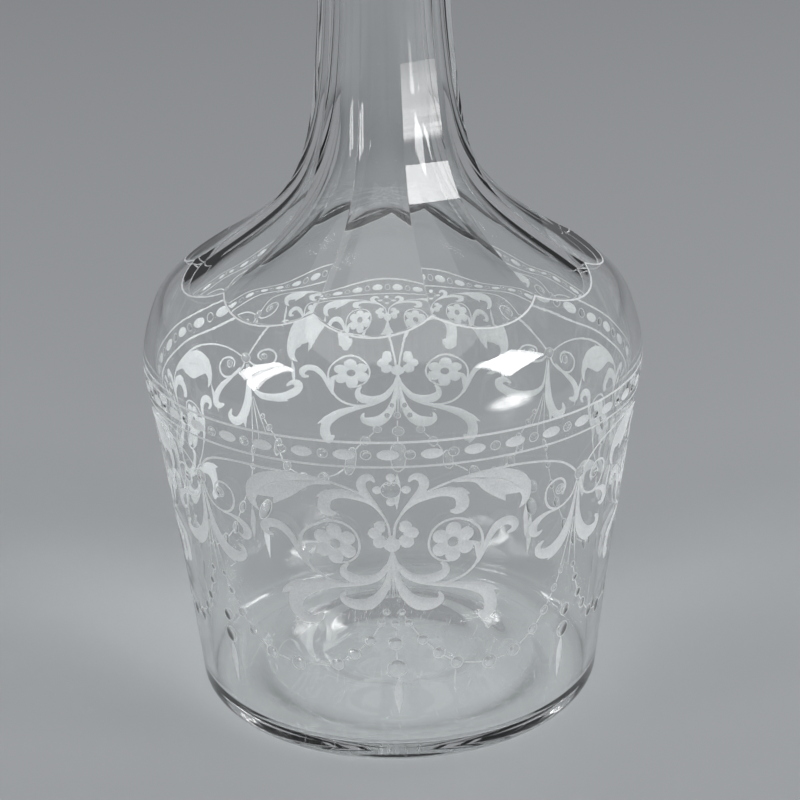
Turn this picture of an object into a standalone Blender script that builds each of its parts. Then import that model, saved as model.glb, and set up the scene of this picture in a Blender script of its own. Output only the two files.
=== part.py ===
"""Glass carafe: an engraved, panel-cut vessel and its ground-in glass stopper.

Metres, +Z up. The origin is the middle of the underside, and the front faces -Y.
"""

import math

import bpy
import numpy as np

MM = 0.001
NO_MERGE_OVER = 0.05 * MM

# Body of the vessel
foot_radius = 50.7 * MM  # where the line of the wall meets the ground
ring_radius = 62.0 * MM  # the widest place, at the engraved rings
ring_height = 90.2 * MM
wall_hollow = 0.6 * MM  # how far the wall draws in at half its height
heel_radius = 6.6 * MM
standing_radius = 34.0 * MM  # inner edge of the flat ring that the vessel stands on
kick_rise = 4.0 * MM  # how far the underside is pushed up at the edge of its ground hollow
recess_radius = 18.5 * MM  # ground hollow in the middle of the underside
recess_depth = 2.5 * MM
wall = 2.8 * MM
floor_height = 5.5 * MM  # of the inner floor beside the wall
inner_heel_radius = 3.0 * MM
dome_radius = 42.0 * MM  # the inner floor rises over the pushed-up underside
dome_rise = 10.5 * MM
dome_flatness = 3  # power of the radius: the higher, the flatter the middle
dome_power = 2

# Shoulder, measured where the middle of a panel starts
scallop_radius = 52.0 * MM
shoulder_rise = 21.2 * MM
scallop_height = ring_height + shoulder_rise

# Panel-cut neck, measured across the flats
panels = 11
panel_turn = math.radians(-5.4)  # the front panel's middle, from -Y towards +X
neck_root_radius = 18.35 * MM
flare_rise = 34.3 * MM
neck_root_height = scallop_height + flare_rise
throat_radius = 15.0 * MM
neck_rise = 38.3 * MM
throat_height = neck_root_height + neck_rise
neck_wall = 5.5 * MM
cut_depth = 1.3 * MM  # glass that the cutting takes off the blown neck at the ridges
thin_rise = 6.0 * MM  # above the scallops, where the even wall starts to thicken
thin_height = scallop_height + thin_rise
thick_rise = 14.0 * MM  # above the neck's root, where it has the neck's thickness
thick_height = neck_root_height + thick_rise

# Lip
collar_radius = 19.3 * MM  # where the panels end under the lip
collar_rise = 17.0 * MM
collar_height = throat_height + collar_rise
lip_radius = 21.0 * MM
lip_rise = 7.0 * MM
lip_height = collar_height + lip_rise
lip_round = 3.5 * MM
mouth_rise = 4.0 * MM
mouth_height = lip_height + mouth_rise
mouth_round = 1.4 * MM

# Ground joint of neck and stopper
socket_depth = 24.0 * MM
socket_step = 0.3 * MM
socket_taper = 0.05  # radius gained for each unit of length
joint_gap = 0.3 * MM

# Stopper
shank_length = 22.5 * MM
shank_round = 1.2 * MM
waist_radius = 8.0 * MM
waist_height = 4.0 * MM  # above the mouth
knop_radius = 19.5 * MM
knop_low_rise = 22.0 * MM
knop_middle = waist_height + knop_low_rise
crown_rise = 20.0 * MM
knop_height = knop_middle + crown_rise
knop_flat_radius = 18.2 * MM
crown_radius = 7.5 * MM

# How fine the solids are
overrun = 3.0 * MM
turns_each_panel = 5
knop_turns_each_panel = 4
arc_steps = 4
curve_steps = 2
dome_steps = 6

# Outlines by hand, each as shares of the sizes that it spans
below_share = 0.9
shoulder_shares = [(0.04, 0.13), (0.15, 0.42), (0.4, 0.71)]
flare_shares = [(0.196, 0.10), (0.339, 0.187), (0.588, 0.367), (0.788, 0.548), (0.912, 0.729)]
neck_shares = [(0.52, 0.32), (0.92, 0.73)]
rise_shares = [(0.07, 0.35), (0.38, 0.72)]
knop_low_shares = [(0.2, 0.1), (0.72, 0.38), (0.95, 0.7)]
knop_high_shares = [(0.94, 0.38), (0.73, 0.72), (0.4, 0.93)]


def between(start, end, shares):
    """Points whose radius and height lie at the given shares of the way from start to end."""
    return [
        (start[0] + (end[0] - start[0]) * across, start[1] + (end[1] - start[1]) * up)
        for across, up in shares
    ]


def smooth(points, steps):
    """A Catmull-Rom curve through the points, with steps stretches between each two."""
    points = np.array(points)
    padded = np.vstack([2 * points[0] - points[1], points, 2 * points[-1] - points[-2]])
    curve = [points[0]]
    for i in range(len(points) - 1):
        a, b, c, d = padded[i : i + 4]
        for t in np.arange(1, steps + 1) / steps:
            pull = 2 * b + (c - a) * t
            pull = pull + (2 * a - 5 * b + 4 * c - d) * t**2
            pull = pull + (3 * b - a - 3 * c + d) * t**3
            curve.append(pull / 2)
    return [tuple(point) for point in curve]


def arc(centre, radius, start, end, steps=arc_steps):
    """Points on a round stretch, angles from the level outward direction."""
    return [
        (centre[0] + radius * math.cos(a), centre[1] + radius * math.sin(a))
        for a in np.linspace(start, end, steps + 1)
    ]


def wall_radius(height):
    """Outer radius of the tapered, slightly hollow wall."""
    share = height / ring_height
    return foot_radius + (ring_radius - foot_radius) * share - 4 * wall_hollow * share * (1 - share)


def wall_slope(height):
    """Angle by which the wall leans out at this height."""
    share = height / ring_height
    gain = ring_radius - foot_radius - 4 * wall_hollow * (1 - 2 * share)
    return math.atan2(gain, ring_height)


def panel_outline():
    """Middle line of one panel, across the flats, from below the shoulder's scallops to the lip."""
    scallop = (scallop_radius, scallop_height)
    root = (neck_root_radius, neck_root_height)
    throat = (throat_radius, throat_height)
    flare = between(scallop, root, flare_shares)
    outside = ring_radius + overrun
    steepness = (scallop[0] - flare[0][0]) / (flare[0][1] - scallop[1])
    start = (outside, scallop_height - (outside - scallop_radius) / steepness)
    neck = between(root, throat, neck_shares)
    rise = between(throat, (collar_radius, collar_height), rise_shares)
    end = (lip_radius + overrun, lip_height)
    low = smooth([start, scallop, *flare, root, *neck, throat], curve_steps)
    return low + smooth([throat, *rise, (collar_radius, collar_height), end], curve_steps)[1:]


def blown_outline():
    """Outside of the uncut vessel, from the lip's top down to the middle of the underside."""
    corner = math.cos(math.pi / panels)
    lip = arc((lip_radius - lip_round, mouth_height - lip_round), lip_round, math.pi / 2, 0)
    cusp_height = between((scallop_radius, scallop_height), (0, neck_root_height), flare_shares)[0][1]
    neck = [
        (radius / corner + min(cut_depth, (height - cusp_height) / 2), height)
        for radius, height in panel_outline()
        if cusp_height - cut_depth / 2 < height < throat_height
    ]
    cusp = neck[0]
    shoulder = between((ring_radius, ring_height), cusp, shoulder_shares)
    below = (wall_radius(ring_height * below_share), ring_height * below_share)
    shoulder = smooth([below, (ring_radius, ring_height), *shoulder, cusp], curve_steps)
    neck_top = (collar_radius / corner, throat_height + lip_round)
    heel_top = heel_radius * (1 - math.sin(wall_slope(0)))
    centre = wall_radius(heel_top) - heel_radius * math.cos(wall_slope(0))
    heel = arc((centre, heel_radius), heel_radius, -wall_slope(0), -math.pi / 2)
    heights = np.linspace(below[1], heel_top, arc_steps)
    tapered = [(wall_radius(height), height) for height in heights]
    lip_side = [(lip_radius, lip_height), (collar_radius / corner, collar_height)]
    down = [*lip, *lip_side, neck_top, *neck[::-1], *shoulder[-2:0:-1], *tapered, *heel[1:], *kick_outline()]
    return down


def kick_outline():
    """Pushed-up underside: a smooth rise from the standing ring, then the ground hollow to its middle."""
    kick = []
    for share in np.linspace(0, 1, arc_steps + 1)[:-1]:
        radius = standing_radius + (recess_radius - standing_radius) * share
        kick.append((radius, kick_rise * share**2 * (3 - 2 * share)))
    bowl = (recess_radius**2 + recess_depth**2) / (2 * recess_depth)
    lean = math.asin(recess_radius / bowl)
    middle = (0, kick_rise + recess_depth)
    recess = arc((0, middle[1] - bowl), bowl, math.pi / 2 - lean, math.pi / 2, curve_steps)
    return [*kick, *recess[:-1], middle]


def dome_outline():
    """Inner floor from its middle out to the rounded corner: a dome that runs out level."""
    dome = []
    for radius in np.linspace(0, dome_radius, dome_steps + 1):
        share = 1 - (radius / dome_radius) ** dome_flatness
        dome.append((radius, floor_height + dome_rise * share**dome_power))
    return dome


def inner_outline():
    """Inside of the vessel, from the middle of its floor up to the rounded edge of the mouth."""
    heel_height = floor_height + inner_heel_radius
    centre = wall_radius(heel_height) - wall - inner_heel_radius
    heel = arc((centre, heel_height), inner_heel_radius, -math.pi / 2, 0)
    below = (wall_radius(ring_height * below_share), ring_height * below_share)
    heights = np.linspace(heel_height, below[1], arc_steps)[1:]
    tapered = [(wall_radius(height) - wall, height) for height in heights]
    scallop = (scallop_radius, scallop_height)
    shoulder = between((ring_radius, ring_height), scallop, shoulder_shares)
    outside = smooth([below, (ring_radius, ring_height), *shoulder, scallop], curve_steps)
    outside += [p for p in panel_outline() if scallop_height < p[1] < socket_floor()]
    along = np.gradient(np.array(outside), axis=0)
    along /= np.linalg.norm(along, axis=1)[:, None]
    share = (np.array(outside)[:, 1] - thin_height) / (thick_height - thin_height)
    share = np.clip(share, 0, 1)
    depth = wall + (neck_wall - wall) * share**2 * (3 - 2 * share)
    inside = np.array(outside) + np.stack([-along[:, 1], along[:, 0]], axis=1) * depth[:, None]
    inside = [tuple(point) for point in inside[1:] if point[1] < socket_floor() - socket_step]
    socket = [(socket_radius(0), socket_floor()), (socket_radius(socket_depth), socket_top())]
    edge = (socket_radius(socket_depth) + mouth_round, mouth_height - mouth_round)
    mouth = arc(edge, mouth_round, math.pi, math.pi / 2, curve_steps)
    return [*dome_outline(), *heel, *tapered, *inside, *socket, *mouth[1:]]


def socket_top():
    """Height at which the ground socket meets the rounding of the mouth."""
    return mouth_height - mouth_round


def socket_floor():
    """Height of the lower end of the ground socket."""
    return socket_top() - socket_depth


def socket_radius(length):
    """Radius of the ground socket at this distance above its lower end."""
    return throat_radius - neck_wall + socket_step + socket_taper * length


def new_object(name, verts, edges, faces):
    """Object with its own mesh, in the scene."""
    mesh = bpy.data.meshes.new(name)
    mesh.from_pydata(verts, edges, faces)
    mesh.update()
    obj = bpy.data.objects.new(name, mesh)
    bpy.context.scene.collection.objects.link(obj)
    return obj


def turned(name, outline, steps):
    """Solid turned about Z from an outline of radius and height that starts and ends on the axis."""
    verts = [(radius, 0, height) for radius, height in outline]
    edges = [(i, i + 1) for i in range(len(verts) - 1)]
    obj = new_object(name, verts, edges, [])
    screw = obj.modifiers.new("Turn", "SCREW")
    screw.steps = screw.render_steps = steps
    screw.use_merge_vertices = True
    screw.merge_threshold = NO_MERGE_OVER
    screw.use_smooth_shade = False
    return obj


def panelled(name, outline):
    """Many-sided solid whose flats follow an outline of radius across the flats and height."""
    corner = math.cos(math.pi / panels)
    angles = panel_turn - math.pi / 2 + math.pi / panels * (2 * np.arange(panels) + 1)
    verts = [
        (radius / corner * math.cos(a), radius / corner * math.sin(a), height)
        for radius, height in outline
        for a in angles
    ]
    faces = [tuple(range(panels))[::-1]]
    for row in range(0, len(verts) - panels, panels):
        for i in range(panels):
            k = (i + 1) % panels
            faces.append((row + i, row + k, row + panels + k, row + panels + i))
    faces.append(tuple(range(len(verts) - panels, len(verts))))
    obj = new_object(name, verts, [], faces)
    obj.hide_render = True
    obj.display_type = "WIRE"
    return obj


def keep_inside(obj, envelope):
    """Cuts away what lies outside the envelope."""
    cut = obj.modifiers.new("Panels", "BOOLEAN")
    cut.operation = "INTERSECT"
    cut.solver = "EXACT"
    cut.object = envelope


def glass(name, colour, roughness):
    """Clear glass."""
    material = bpy.data.materials.new(name)
    material.use_nodes = True
    shader = material.node_tree.nodes["Principled BSDF"]
    shader.inputs["Base Color"].default_value = (*colour, 1)
    shader.inputs["Roughness"].default_value = roughness
    shader.inputs["Metallic"].default_value = 0
    shader.inputs["Transmission Weight"].default_value = 1
    shader.inputs["IOR"].default_value = 1.54
    return material


def make_vessel():
    """Blown vessel with a thick base, cut to flat panels from the shoulder up to the lip."""
    vessel = turned("vessel", inner_outline() + blown_outline(), turns_each_panel * panels)
    wide = ring_radius + overrun
    outline = panel_outline()
    top = (outline[-1][0], mouth_height + overrun)
    keep_inside(vessel, panelled("panel_envelope", [(wide, -overrun), *outline, top]))
    vessel.data.materials.append(glass("clear_glass", (0.97, 0.98, 0.98), 0.02))
    return vessel


def make_stopper():
    """Solid stopper: tapered ground shank, waist and panel-cut knop. Its origin is the mouth."""
    low = socket_top() - mouth_height
    tip = low - shank_length
    tip_radius = socket_radius(socket_depth - shank_length) - joint_gap
    top_radius = socket_radius(socket_depth) - joint_gap
    end = arc((tip_radius - shank_round, tip + shank_round), shank_round, 0, -math.pi / 2, curve_steps)
    waist = (waist_radius, waist_height)
    middle = (knop_radius, knop_middle)
    high = (0, knop_height)
    knop = smooth([waist, *between(waist, middle, knop_low_shares), middle], curve_steps)
    crown = between((0, knop_middle), (knop_radius, knop_height), knop_high_shares)
    knop += smooth([middle, *crown, high], curve_steps)[1:]
    outline = [*knop[::-1], (top_radius, low), *end, (0, tip)]
    stopper = turned("stopper", outline, knop_turns_each_panel * panels)
    wide = knop_radius + overrun
    flats = [
        (wide, tip - overrun),
        (wide, waist_height),
        (knop_flat_radius, knop_middle - crown_rise / 2),
        (knop_flat_radius, knop_middle + crown_rise / 3),
        (crown_radius, knop_height - crown_rise / 20),
        (crown_radius, knop_height + overrun),
    ]
    envelope = panelled("knop_envelope", flats)
    keep_inside(stopper, envelope)
    stopper.location = envelope.location = (0, 0, mouth_height)
    stopper.data.materials.append(glass("stopper_glass", (0.97, 0.98, 0.98), 0.03))
    return stopper


def main():
    for obj in list(bpy.data.objects):
        bpy.data.objects.remove(obj, do_unlink=True)
    make_vessel()
    make_stopper()


main()
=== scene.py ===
"""Looks of an engraved glass carafe: polished crystal, matt engraving and a ground-in stopper.

Metres, +Z up, front towards -Y. Every surface is a numpy function of two parameters, put into one
closed mesh for each piece. The engraving is drawn on the unrolled wall and really cut into it.
"""

import copy
import math

import bmesh
import bpy
import numpy as np
from mathutils import Euler, Matrix, Vector
from mathutils.geometry import delaunay_2d_cdt


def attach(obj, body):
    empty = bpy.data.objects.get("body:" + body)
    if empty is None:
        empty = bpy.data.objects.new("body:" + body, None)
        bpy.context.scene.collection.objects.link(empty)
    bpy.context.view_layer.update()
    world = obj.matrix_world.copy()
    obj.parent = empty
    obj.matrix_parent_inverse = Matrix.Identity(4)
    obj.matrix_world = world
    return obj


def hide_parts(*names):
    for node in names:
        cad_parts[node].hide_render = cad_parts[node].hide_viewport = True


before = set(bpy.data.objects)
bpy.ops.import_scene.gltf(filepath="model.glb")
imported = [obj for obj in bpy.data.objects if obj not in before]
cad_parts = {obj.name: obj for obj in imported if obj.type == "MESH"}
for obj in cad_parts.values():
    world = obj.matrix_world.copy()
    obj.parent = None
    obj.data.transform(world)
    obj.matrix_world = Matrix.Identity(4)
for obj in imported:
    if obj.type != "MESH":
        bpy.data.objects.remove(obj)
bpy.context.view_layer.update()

MM = 0.001

# Body of the vessel, as its solid has it
foot_radius = 50.7 * MM
ring_radius = 62.0 * MM
ring_height = 90.2 * MM
wall_hollow = 0.6 * MM
heel_radius = 6.6 * MM
foot_lean = math.atan2(ring_radius - foot_radius - 4 * wall_hollow, ring_height)
heel_top = heel_radius * (1 - math.sin(foot_lean))
standing_radius = 34.0 * MM
kick_rise = 4.0 * MM
recess_radius = 18.5 * MM
recess_depth = 2.5 * MM
wall = 2.8 * MM
floor_height = 5.5 * MM
inner_heel_radius = 3.0 * MM
dome_radius = 42.0 * MM
dome_rise = 10.5 * MM
dome_flatness = 3
dome_power = 2

# Shoulder, measured where it bends over above the rings and where the middle of a panel starts
brow_radius = 61.85 * MM
brow_height = 90.6 * MM
scallop_radius = 52.0 * MM
scallop_height = ring_height + 21.2 * MM

# Panel-cut neck, measured across the flats
panels = 11
panel_turn = math.radians(-5.4)
neck_root_radius = 18.35 * MM
neck_root_height = scallop_height + 34.3 * MM
throat_radius = 15.0 * MM
throat_height = neck_root_height + 38.3 * MM
neck_wall = 5.5 * MM
cut_depth = 1.3 * MM
cut_growth = 0.5
cusp_slack = 0.01 * MM
thin_height = scallop_height + 6.0 * MM
thick_height = neck_root_height + 14.0 * MM
ridge_round = 0.5 * MM
half_panel = math.pi / panels
corner = math.cos(half_panel)

# Lip and ground socket
collar_radius = 19.3 * MM
collar_height = throat_height + 17.0 * MM
lip_radius = 21.0 * MM
lip_height = collar_height + 7.0 * MM
lip_round = 3.5 * MM
mouth_height = lip_height + 4.0 * MM
mouth_round = 1.4 * MM
socket_depth = 24.0 * MM
socket_step = 0.3 * MM
socket_taper = 0.05
joint_gap = 0.3 * MM
socket_top = mouth_height - mouth_round
socket_floor = socket_top - socket_depth

# Stopper, measured from the mouth
shank_length = 22.5 * MM
shank_round = 1.2 * MM
waist_radius = 8.0 * MM
waist_height = 4.0 * MM
knop_radius = 19.5 * MM
knop_middle = waist_height + 22.0 * MM
crown_rise = 20.0 * MM
knop_height = knop_middle + crown_rise
knop_flat_radius = 18.2 * MM
crown_radius = 7.5 * MM
flat_drop = crown_rise / 2
kink_rise = crown_rise / 3
crown_drop = crown_rise / 20
overrun = 3.0 * MM

# Outlines, each as shares of the sizes that it spans. The shoulder's curve starts below the rings.
below_share = 0.88
shoulder_shares = [(0.155, 0.42), (0.4, 0.71)]
flare_shares = [(0.196, 0.10), (0.339, 0.187), (0.588, 0.367), (0.788, 0.548), (0.912, 0.729)]
neck_shares = [(0.52, 0.32), (0.92, 0.73)]
rise_shares = [(0.07, 0.35), (0.38, 0.72)]
knop_low_shares = [(0.2, 0.1), (0.72, 0.38), (0.95, 0.7)]
knop_high_shares = [(0.94, 0.38), (0.73, 0.72), (0.4, 0.93)]

# How fine the surfaces are
curve_steps = 10
even_step = 0.25 * MM
outside_ease = 1.6 * MM
wall_ease = 2.0 * MM
under_ease = 1.1 * MM
inside_rows = 5
under_rows = 3
panel_columns = 12
panel_power = 1.3
arc_rows = 10
ring_rows = 5
heel_rows = 3
shoulder_rows = 24
line_rows = 2
panel_rows = 48
socket_rows = 9
floor_rows = 32
shank_rows = 12
knop_rows = 24
flat_rows = 14
crown_rows = 8
crown_power = 0.6
crossing_steps = 4000
weld_distance = 0.002 * MM
edge_round = 0.3 * MM
scallop_line = 0.45 * MM
steepest_line = 2

# Slow waves of the blown inside: depth, waves round the vessel, waves in its height and their start
ripple_low = 12.0 * MM
ripple_high = 125.0 * MM
ripples = [
    (0.035 * MM, 3, 2.3, 0.4),
    (0.03 * MM, 5, 3.9, 2.1),
    (0.018 * MM, 8, 5.2, 4.4),
    (0.012 * MM, 11, 1.7, 5.3),
]

# The engraved band of the wall, unrolled at this radius
unrolled_radius = 58.0 * MM
sheet_low = 7.6 * MM
sheet_high = 91.6 * MM

# Sizes of the flat sheet and its cuts, in millimetres
turn_round = 2 * math.pi * unrolled_radius / MM
sheet_start = -114.5
grain = 3.0
merge_under = 0.001
smallest_area = 1e-7
never_zero = 1e-30
stroke_steps = 3
thinnest = 0.05
blunt_width = 4 * thinnest
tip_turns = (60, 20, -20, -60)
wide_stroke = 0.7
oval_points = 10
points_each_millimetre = 6.4
inner_rings = [(0.74, 1), (0.4, 2)]
cut_limit = 0.22
cut_share = 0.25
dot_depth_share = 0.16
lens_depth_share = 0.2
# Depth and width of the matt ring at a round cut's rim; its white is also a painted highlight of the cut's
# sharp edge
rim_depth = 0.1
rim_width = 0.18
vein_depth = 0.3
dash_width = 0.18
dash_gap = 0.35

# Finishes, by their place in a piece's materials
CLEAR = 0
MATT = 1
GROUND = 2
WORN = 3
DULL = 4

# Camera, found from the photograph's outline
camera_place = (0.0015, -0.5045, 0.2761)
camera_tilt = math.radians(68.34)
camera_roll = math.radians(-1.26)
camera_lens = 97.31
sensor_width = 36
nearest_seen = 0.01

# Lamps: azimuth and elevation, distance, width and height, glow, panes and lean
windows = {
    "left_window": (-62.5, 21, 2.4, (0.52, 1.15), 11.5, 2, 27),
    "right_window": (60.5, 29, 2.4, (1.0, 0.95), 11, 1, -22),
    "low_window": (52, 1.5, 2.4, (1.15, 0.46), 8, 1, 0),
    "top_panel": (0, 80, 2.6, (2.4, 2.4), 0.9, 1, 0),
}
aim_height = 0.1
pane_share = 0.78
surround_colour = (0.94, 0.96, 1, 1)
surround_strength = 0.3

# The clouded lamp: its middle, where its glow ends and is full, as shares of its width, and its patches
clouded_window = "low_window"
cloud_middle = (0.5, 0.5, 0)
cloud_edge = 0.5
cloud_core = 0.15
cloud_patches = 6
cloud_gain = 2

# Floor
floor_size = 8.0
floor_drop = 0.2 * MM
floor_colour = (0.37, 0.38, 0.39, 1)
floor_roughness = 0.8

# Clear glass: how it refracts, its specks, as count in a metre, size and share kept, and its wear
glass_refraction = 1.53
clear_colour = (0.985, 0.992, 0.99, 1)
shadow_colour = (0.93, 0.94, 0.94, 1)
mark_colour = (0.9, 0.9, 0.9, 1)
mark_white = 0.4
clear_specks = (330, 0.05, 0.05)
worn_specks = (520, 0.055, 0.24)
scratch_bends = 25
scratch_sway = 0.02
scratch_turns = (12, 68, 117, 160)
scratch_scale = (3600, 130, 130)
scratch_threshold = 0.79
scratch_sharpness = 12

# Matt glass: its names, share of white and roughness, and its grain
matt_finishes = [("matt_engraving", 0.9, 0.45), ("ground_joint", 0.5, 0.4), ("dull_polish", 0.22, 0.12)]
matt_colour = (0.95, 0.96, 0.96, 1)
matt_tones = [(0.35, (0.76, 0.78, 0.79, 1)), (0.65, (0.93, 0.945, 0.95, 1))]
grit_each_metre = 2600
cloud_each_metre = 90
grit_share = 0.7
behind_share = 0.25


def between(start, end, shares):
    """Points whose radius and height lie at the given shares of the way from start to end."""
    start = np.array(start)
    return [tuple(start + (np.array(end) - start) * share) for share in shares]


def even_shares(count):
    """So many evenly spaced shares, the same for radius and height."""
    return [(share, share) for share in np.linspace(0, 1, count)]


def soft_step(share):
    """Share that starts and ends level: three times its square less twice its cube."""
    return share**2 * (3 - 2 * share)


def unit(vectors):
    """The same vectors, each one long."""
    return vectors / np.linalg.norm(vectors, axis=1)[:, None]


def smooth(points, steps=curve_steps):
    """Catmull-Rom curve: in each stretch a cubic whose tangents join its neighbours' ends."""
    points = np.array(points, float)
    padded = np.vstack([2 * points[0] - points[1], points, 2 * points[-1] - points[-2]])
    a, b, c, d = (padded[i : i + len(points) - 1, None] for i in range(4))
    t = (np.arange(steps) / steps)[None, :, None]
    curve = 2 * b + (c - a) * t + (2 * a - 5 * b + 4 * c - d) * t**2 + (3 * b - a - 3 * c + d) * t**3
    return np.vstack([curve.reshape(-1, points.shape[1]) / 2, points[-1:]])


def arc(centre, radius, start, end, steps=arc_rows):
    """Round stretch: centre plus radius times cosine and sine of angles from start to end."""
    angles = np.linspace(start, end, steps + 1)
    return np.stack([centre[0] + radius * np.cos(angles), centre[1] + radius * np.sin(angles)], 1)


def wall_radius(height):
    """Straight taper from foot to rings, less a parabola that draws it in at half its height."""
    share = height / ring_height
    return foot_radius + (ring_radius - foot_radius) * share - 4 * wall_hollow * share * (1 - share)


def eased(outline, reach):
    """Outline at even steps of its length, each point the mean of those near it, weighted by a bell
    curve of this reach. Both ends stay, because the outline goes on turned over about them."""
    outline = np.array(outline, float)
    length = np.append(0, np.cumsum(np.linalg.norm(np.diff(outline, axis=0), axis=1)))
    places = np.linspace(0, length[-1], int(length[-1] / even_step) + 1)
    even = np.stack([np.interp(places, length, column) for column in outline.T], 1)
    pad = int(3 * reach / even_step)
    weights = np.exp(-0.5 * (np.arange(-pad, pad + 1) * even_step / reach) ** 2)
    before = 2 * even[0] - even[pad:0:-1]
    after = 2 * even[-1] - even[-2 : -pad - 2 : -1]
    padded = np.vstack([before, even, after])
    return np.stack([np.convolve(column, weights / weights.sum(), "valid") for column in padded.T], 1)


class Outline:
    """Radius and its slope as functions of height, read from an outline that climbs."""

    def __init__(self, points):
        self.radii, self.heights = np.array(points).T
        self.slopes = np.gradient(self.radii, self.heights)

    def radius(self, height):
        return np.interp(height, self.heights, self.radii)

    def slope(self, height):
        return np.interp(height, self.heights, self.slopes)


def panel_outline():
    """Middle line of one panel, across the flats: flare, neck and rise as curves through shares."""
    scallop = (scallop_radius, scallop_height)
    root = (neck_root_radius, neck_root_height)
    throat = (throat_radius, throat_height)
    flare = between(scallop, root, flare_shares)
    outside = ring_radius + overrun
    steepness = (scallop[0] - flare[0][0]) / (flare[0][1] - scallop[1])
    start = (outside, scallop_height - (outside - scallop_radius) / steepness)
    neck = between(root, throat, neck_shares)
    rise = between(throat, (collar_radius, collar_height), rise_shares)
    end = (lip_radius + overrun, lip_height)
    low = smooth([start, scallop, *flare, root, *neck, throat])
    high = smooth([throat, *rise, (collar_radius, collar_height), end])
    return eased(np.vstack([low, high[1:]]), outside_ease)


def blown_wall():
    """Outside of wall, shoulder and neck before the panels are cut, from the heel up to the throat."""
    cusp_height = between((scallop_radius, scallop_height), (0, neck_root_height), flare_shares)[0][1]
    panel = panel_outline()
    radii, heights = panel[(panel[:, 1] > cusp_height - cusp_slack) & (panel[:, 1] < throat_height)].T
    cut = np.minimum(cut_depth, (heights - cusp_height) * cut_growth)
    neck = np.stack([radii / corner + cut, heights], 1)
    neck[0, 0] = Outline(panel).radius(cusp_height) / corner
    shoulder = between((ring_radius, ring_height), neck[0], shoulder_shares)
    below = ring_height * below_share
    shoulder = smooth([(wall_radius(below), below), (brow_radius, brow_height), *shoulder, neck[0]])
    heights = np.linspace(heel_top, below, panel_rows, endpoint=False)
    tapered = np.stack([wall_radius(heights), heights], 1)
    return eased(np.vstack([tapered, shoulder[:-1], neck]), wall_ease)


def blown_outline():
    """Outside of the uncut vessel, from the top of the heel up to the lip."""
    neck_top = (collar_radius / corner, throat_height + lip_round)
    collar = [neck_top, (collar_radius / corner, collar_height), (lip_radius, lip_height)]
    return np.vstack([blown_wall(), collar])


def underside_outlines():
    """The underside, worn smooth: ground hollow, push-up that runs out in a smooth step and the flat
    ring to stand on. Then the rounded heel."""
    bowl = (recess_radius**2 + recess_depth**2) / (2 * recess_depth)
    lean = math.asin(recess_radius / bowl)
    middle = kick_rise + recess_depth - bowl
    recess = arc((0, middle), bowl, math.pi / 2, math.pi / 2 - lean, floor_rows // 2)
    recess[0, 0] = 0
    share = np.linspace(1, 0, floor_rows)
    kick_radius = standing_radius + (recess_radius - standing_radius) * share
    kick = np.stack([kick_radius, kick_rise * soft_step(share)], 1)
    centre = wall_radius(heel_top) - heel_radius * math.cos(foot_lean)
    heel = arc((centre, heel_radius), heel_radius, -math.pi / 2, -foot_lean)
    ring = between(kick[-1], heel[0], even_shares(ring_rows))
    return eased(np.vstack([recess, kick[1:], ring[1:]]), under_ease)[::under_rows], heel


def socket_radius(length):
    """Radius of the ground socket at this distance above its lower end: a slow cone."""
    return throat_radius - neck_wall + socket_step + socket_taper * length


def inner_outline():
    """Inside from the socket down to the middle of the floor: the blown outside moved in along its
    normal by the glass, which thickens towards the neck, a small round corner, and a dome whose rise
    is the square of one minus the cubed share of its radius."""
    heel_height = floor_height + inner_heel_radius
    outside = blown_wall()
    outside = np.vstack([outside, (outside[-1, 0], socket_floor)])
    along = unit(np.gradient(outside, axis=0))
    neck_glass = neck_wall + neck_root_radius * (1 / corner - 1) + cut_depth
    share = np.clip((outside[:, 1] - thin_height) / (thick_height - thin_height), 0, 1)
    depth = wall + (neck_glass - wall) * soft_step(share)
    inside = outside + np.stack([-along[:, 1], along[:, 0]], 1) * depth[:, None]
    kept = (inside[:, 1] < socket_floor - socket_step) & (inside[:, 1] > heel_height)
    wall_inside = inside[kept][::-inside_rows]
    centre = wall_inside[-1, 0] - inner_heel_radius
    heel = arc((centre, heel_height), inner_heel_radius, 0, -math.pi / 2)
    radii = np.linspace(dome_radius, 0, floor_rows)
    share = 1 - (radii / dome_radius) ** dome_flatness
    dome = np.stack([radii, floor_height + dome_rise * share**dome_power], 1)
    return wall_inside, heel, np.vstack([heel[-1], dome])


BLOWN = Outline(blown_outline())
PANEL = Outline(panel_outline())


class Surface:
    """Points, normals and faces of one smooth stretch, before the stretches are welded."""

    def __init__(self, points, normals, faces, finish=CLEAR):
        self.points = np.asarray(points, float).reshape(-1, 3)
        self.normals = np.asarray(normals, float).reshape(-1, 3)
        self.faces = faces
        self.finish = finish


def grid(points, normals, finish=CLEAR):
    """Stretch in rows that close round the axis: quads, facing out when the rows climb outside."""
    rows, columns = points.shape[:2]
    row = np.arange(rows - 1)[:, None] * columns
    column = np.arange(columns)[None]
    after = (column + 1) % columns
    quads = [row + column, row + after, row + columns + after, row + columns + column]
    return Surface(points, normals, np.stack(quads, -1).reshape(-1, 4), finish)


def around(radii, heights, azimuths):
    """Point at a radius and height, turned by its azimuth from -Y towards +X."""
    x = radii * np.sin(azimuths)
    y = -radii * np.cos(azimuths)
    return np.stack(np.broadcast_arrays(x, y, heights), -1)


def slope_normals(slopes, azimuths):
    """Normals of a wall whose radius grows by its slope: one outwards, less the slope upwards."""
    length = np.sqrt(1 + slopes**2)
    return around(1 / length, -slopes / length, azimuths)


def lathe(outline, heights, azimuths, finish=CLEAR):
    """Turned stretch: the outline's radius at these heights, carried round the axis."""
    points = around(outline.radius(heights), heights, azimuths)
    return grid(points, slope_normals(outline.slope(heights), azimuths), finish)


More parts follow.
